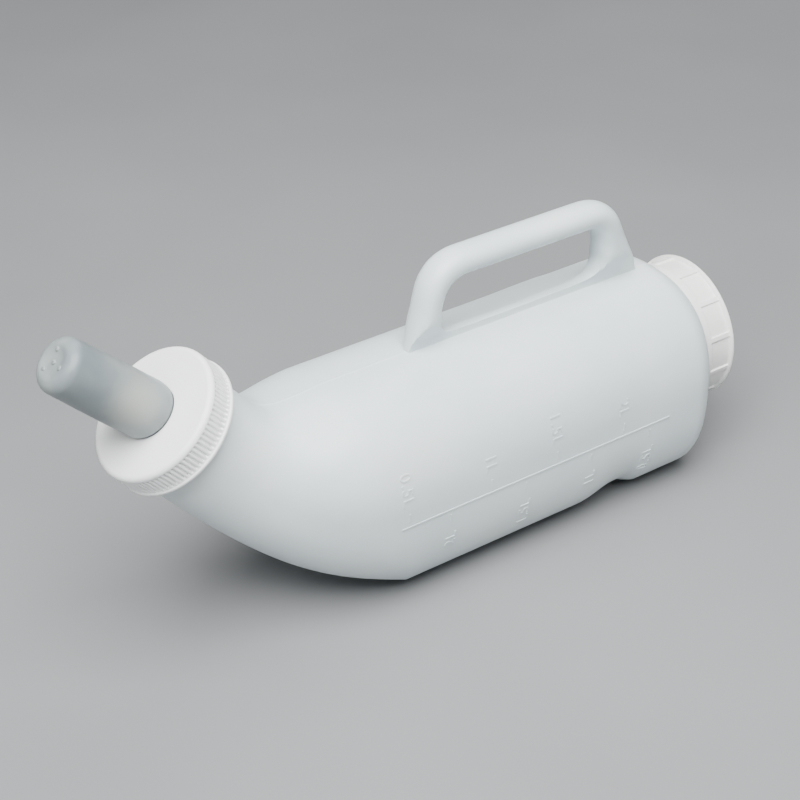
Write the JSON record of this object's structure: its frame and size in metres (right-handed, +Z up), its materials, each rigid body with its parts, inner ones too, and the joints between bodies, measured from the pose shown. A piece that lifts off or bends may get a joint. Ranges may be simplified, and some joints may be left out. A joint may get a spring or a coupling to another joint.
{
  "type": "calf feeding bottle",
  "caption": "Hand-held calf feeding bottle: milky blow-moulded body with a carrying handle, upturned neck with a screwed-on teat, and a screw filling cap at the rear.",
  "frame": {"origin": "Centre of the bounding box's base: on the flat surface the bottle lies on, in the mould's parting plane, midway between the teat's tip and the rear cap's outer face.", "axes": "+X along the bottle towards the rear cap, +Z up away from the surface it lies on, +Y across it. The parting plane is y = 0."},
  "size_m": [0.3954, 0.1122, 0.1888],
  "materials": {
    "body_plastic": "milky natural polyethylene, satin, slightly translucent",
    "white_plastic": "opaque white moulded plastic, satin",
    "silicone": "translucent grey silicone, smooth",
    "seal_rubber": "off-white soft sealing rubber, matt"
  },
  "bodies": {
    "bottle": {"bottle_body": "body_plastic"},
    "seal": {"rear_cap_seal": "seal_rubber"},
    "cap": {"rear_cap": "white_plastic"},
    "nipple": {"teat": "silicone"},
    "collar": {"teat_collar": "white_plastic"}
  },
  "joints": [
    {"name": "rear_cap_travel", "type": "slide", "parent": "bottle", "child": "seal", "axis": [1, 0, 0], "range_m": [0, 0.0068]},
    {"name": "rear_cap_turn", "type": "hinge", "parent": "seal", "child": "cap", "pos_m": [0.19765, 0, 0.0665], "axis": [1, 0, 0], "range_deg": [0, 540]},
    {"name": "teat_travel", "type": "slide", "parent": "bottle", "child": "nipple", "axis": [-0.6441, 0, 0.7649], "range_m": [0, 0.0068]},
    {"name": "collar_turn", "type": "hinge", "parent": "nipple", "child": "collar", "pos_m": [-0.14515, 0, 0.1369], "axis": [-0.6441, 0, 0.7649], "range_deg": [0, 540]}
  ],
  "couplings": [
    {"joint": "rear_cap_travel", "follows": "rear_cap_turn", "m_per_rad": 0.0007162},
    {"joint": "teat_travel", "follows": "collar_turn", "m_per_rad": 0.0007162}
  ]
}
